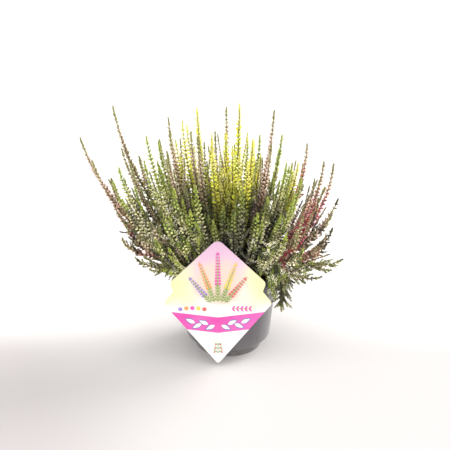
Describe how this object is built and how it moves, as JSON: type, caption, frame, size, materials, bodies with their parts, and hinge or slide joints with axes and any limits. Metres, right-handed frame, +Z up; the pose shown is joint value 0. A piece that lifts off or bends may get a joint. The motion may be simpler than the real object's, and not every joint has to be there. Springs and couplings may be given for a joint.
{
  "type": "potted heather",
  "caption": "Mixed bud heather with upright flower spikes in five colours, growing in a round tapered nursery pot with a die-cut card hooked over its rim.",
  "frame": {"origin": "on the floor under the pot's axis, in the middle of the flat underside", "axes": "+Z up along the pot's axis, -Y towards the side with the card, +X to the right as seen from the card's side"},
  "size_m": [0.3213, 0.2109, 0.31],
  "materials": {
    "pot_plastic": "matt dark grey polypropylene",
    "peat": "loose fibrous peat",
    "card_plastic": "printed gloss polypropylene sheet",
    "mauve_heather": "mauve buds on dark grey-green needles",
    "pink_heather": "pale pink buds on green needles",
    "gold_heather": "yellow needles and buds",
    "white_heather": "cream buds on bright green needles",
    "crimson_heather": "crimson buds on dark green needles"
  },
  "bodies": {
    "root": {"pot": "pot_plastic", "soil": "peat", "label_card": "card_plastic", "pink_spray_01": "pink_heather", "mauve_spray_02": "mauve_heather", "white_spray_03": "white_heather", "mauve_spray_04": "mauve_heather", "white_spray_05": "white_heather", "white_spray_06": "white_heather", "pink_spray_07": "pink_heather", "mauve_spray_08": "mauve_heather", "gold_spray_09": "gold_heather", "gold_spray_10": "gold_heather", "mauve_spray_11": "mauve_heather", "gold_spray_12": "gold_heather", "mauve_spray_13": "mauve_heather", "gold_spray_14": "gold_heather", "gold_spray_15": "gold_heather", "gold_spray_16": "gold_heather", "gold_spray_17": "gold_heather", "pink_spray_18": "pink_heather", "white_spray_19": "white_heather", "white_spray_20": "white_heather", "white_spray_21": "white_heather", "gold_spray_22": "gold_heather", "white_spray_23": "white_heather", "crimson_spray_24": "crimson_heather", "crimson_spray_25": "crimson_heather", "crimson_spray_26": "crimson_heather", "pink_spray_27": "pink_heather", "crimson_spray_28": "crimson_heather", "mauve_spray_29": "mauve_heather", "white_spray_30": "white_heather", "mauve_spray_31": "mauve_heather", "white_spray_32": "white_heather", "white_spray_33": "white_heather", "white_spray_34": "white_heather", "white_spray_35": "white_heather", "white_spray_36": "white_heather", "white_spray_37": "white_heather", "white_spray_38": "white_heather", "crimson_spray_39": "crimson_heather", "mauve_spray_40": "mauve_heather", "crimson_spray_41": "crimson_heather", "mauve_spray_42": "mauve_heather", "white_spray_43": "white_heather", "pink_spray_44": "pink_heather", "white_spray_45": "white_heather", "mauve_spray_46": "mauve_heather", "white_spray_47": "white_heather", "mauve_spray_48": "mauve_heather", "crimson_spray_49": "crimson_heather", "mauve_spray_50": "mauve_heather", "crimson_spray_51": "crimson_heather", "gold_spray_52": "gold_heather", "white_spray_53": "white_heather", "mauve_spray_54": "mauve_heather", "white_spray_55": "white_heather", "white_spray_56": "white_heather"}
  },
  "joints": []
}
